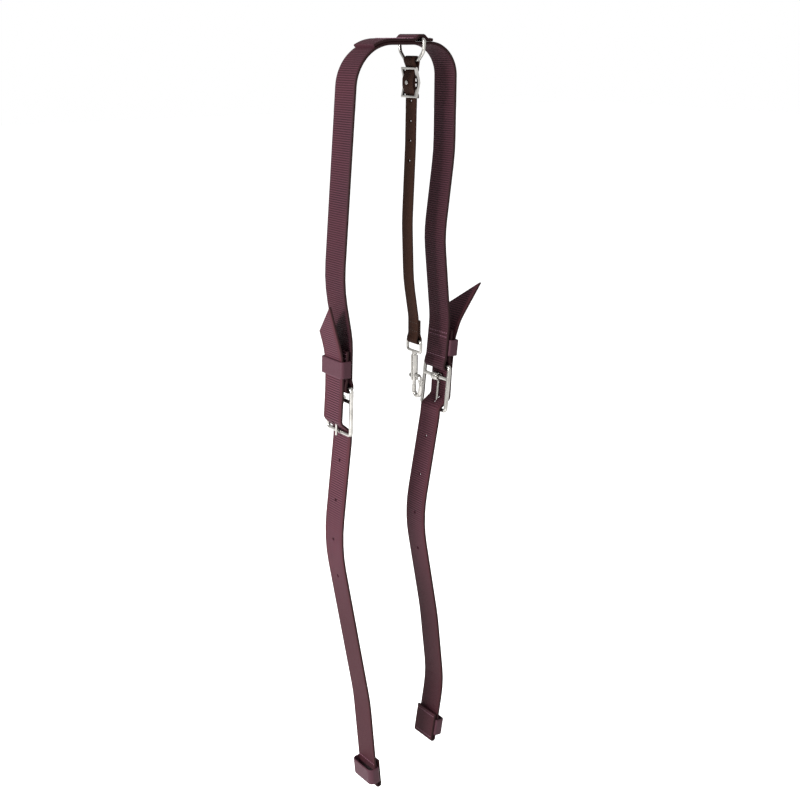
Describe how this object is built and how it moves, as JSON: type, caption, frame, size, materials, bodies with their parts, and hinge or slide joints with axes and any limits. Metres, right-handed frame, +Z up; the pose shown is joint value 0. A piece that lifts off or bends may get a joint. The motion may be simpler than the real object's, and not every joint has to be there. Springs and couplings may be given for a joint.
{
  "type": "webbing martingale",
  "caption": "Webbing martingale hung by its crown: folded neck strap, buckled billets with end loops, ring, and a centre strap with adjuster and swivel snap.",
  "frame": {"origin": "middle of the flat underside of the crown, where the strap rests on what it hangs from", "axes": "+Z up; +X from the left leg to the right leg; +Y across the width of the webbing"},
  "size_m": [0.2223, 0.053, 0.9429],
  "materials": {
    "webbing": "ribbed burgundy nylon webbing, slight sheen",
    "billet_webbing": "fine twill burgundy nylon webbing",
    "keeper_webbing": "smooth satin-faced burgundy webbing",
    "strap_webbing": "narrow dark brown nylon webbing",
    "thread": "bonded nylon thread, a shade lighter than the webbing",
    "strap_thread": "dark brown bonded nylon thread",
    "nickel": "nickel plate, lightly scuffed",
    "spring_steel": "bright spring wire"
  },
  "bodies": {
    "root": {"neck_strap": "webbing", "crown_overlay": "webbing", "left_keeper": "keeper_webbing", "right_keeper": "keeper_webbing", "left_leg_stitches": "thread", "right_leg_stitches": "thread", "crown_stitches": "thread"},
    "ring": {"crown_ring": "nickel"},
    "strap": {"centre_strap": "strap_webbing", "adjuster_frame": "nickel", "adjuster_stud": "nickel", "centre_strap_stitches": "strap_thread"},
    "eye": {"snap_eye": "nickel"},
    "snap": {"snap_body": "nickel", "snap_spring": "spring_steel"},
    "bolt": {"snap_bolt": "nickel"},
    "left_buckle": {"left_buckle_frame": "nickel", "left_billet": "billet_webbing", "left_end_loop": "keeper_webbing", "left_end_stitches": "thread"},
    "left_tongue": {"left_buckle_tongue": "nickel"},
    "right_buckle": {"right_buckle_frame": "nickel", "right_billet": "billet_webbing", "right_end_loop": "keeper_webbing", "right_end_stitches": "thread"},
    "right_tongue": {"right_buckle_tongue": "nickel"}
  },
  "joints": [
    {"name": "ring_swing", "type": "hinge", "parent": "root", "child": "ring", "pos_m": [0.025, 0, 0.0058], "axis": [0, 1, 0], "range_deg": [-0.5, 3]},
    {"name": "strap_swing", "type": "hinge", "parent": "ring", "child": "strap", "pos_m": [0.025, 0, -0.0167], "axis": [0, 1, 0], "range_deg": [-0.5, 3]},
    {"name": "eye_swing", "type": "hinge", "parent": "strap", "child": "eye", "pos_m": [0.03, 0, -0.343], "axis": [0, 1, 0], "range_deg": [-1, 30]},
    {"name": "snap_swivel", "type": "hinge", "parent": "eye", "child": "snap", "pos_m": [0.03, 0, -0.3615], "axis": [0, 0, 1], "continuous": true},
    {"name": "bolt_slide", "type": "slide", "parent": "snap", "child": "bolt", "axis": [0, 0, 1], "range_m": [0, 0.008], "stiffness_N_per_m": 300, "springref_m": -0.003, "deforming": ["snap_spring"]},
    {"name": "left_buckle_swing", "type": "hinge", "parent": "root", "child": "left_buckle", "pos_m": [-0.078, 0, -0.382], "axis": [0, 1, 0], "range_deg": [-1, 2]},
    {"name": "left_tongue_lift", "type": "hinge", "parent": "left_buckle", "child": "left_tongue", "pos_m": [-0.07856, 0, -0.39799], "axis": [0, 1, 0], "range_deg": [0, 3]},
    {"name": "right_buckle_swing", "type": "hinge", "parent": "root", "child": "right_buckle", "pos_m": [0.066, 0, -0.378], "axis": [0, 1, 0], "range_deg": [-2, 2]},
    {"name": "right_tongue_lift", "type": "hinge", "parent": "right_buckle", "child": "right_tongue", "pos_m": [0.06433, 0, -0.39391], "axis": [0, -1, 0], "range_deg": [0, 3]}
  ]
}
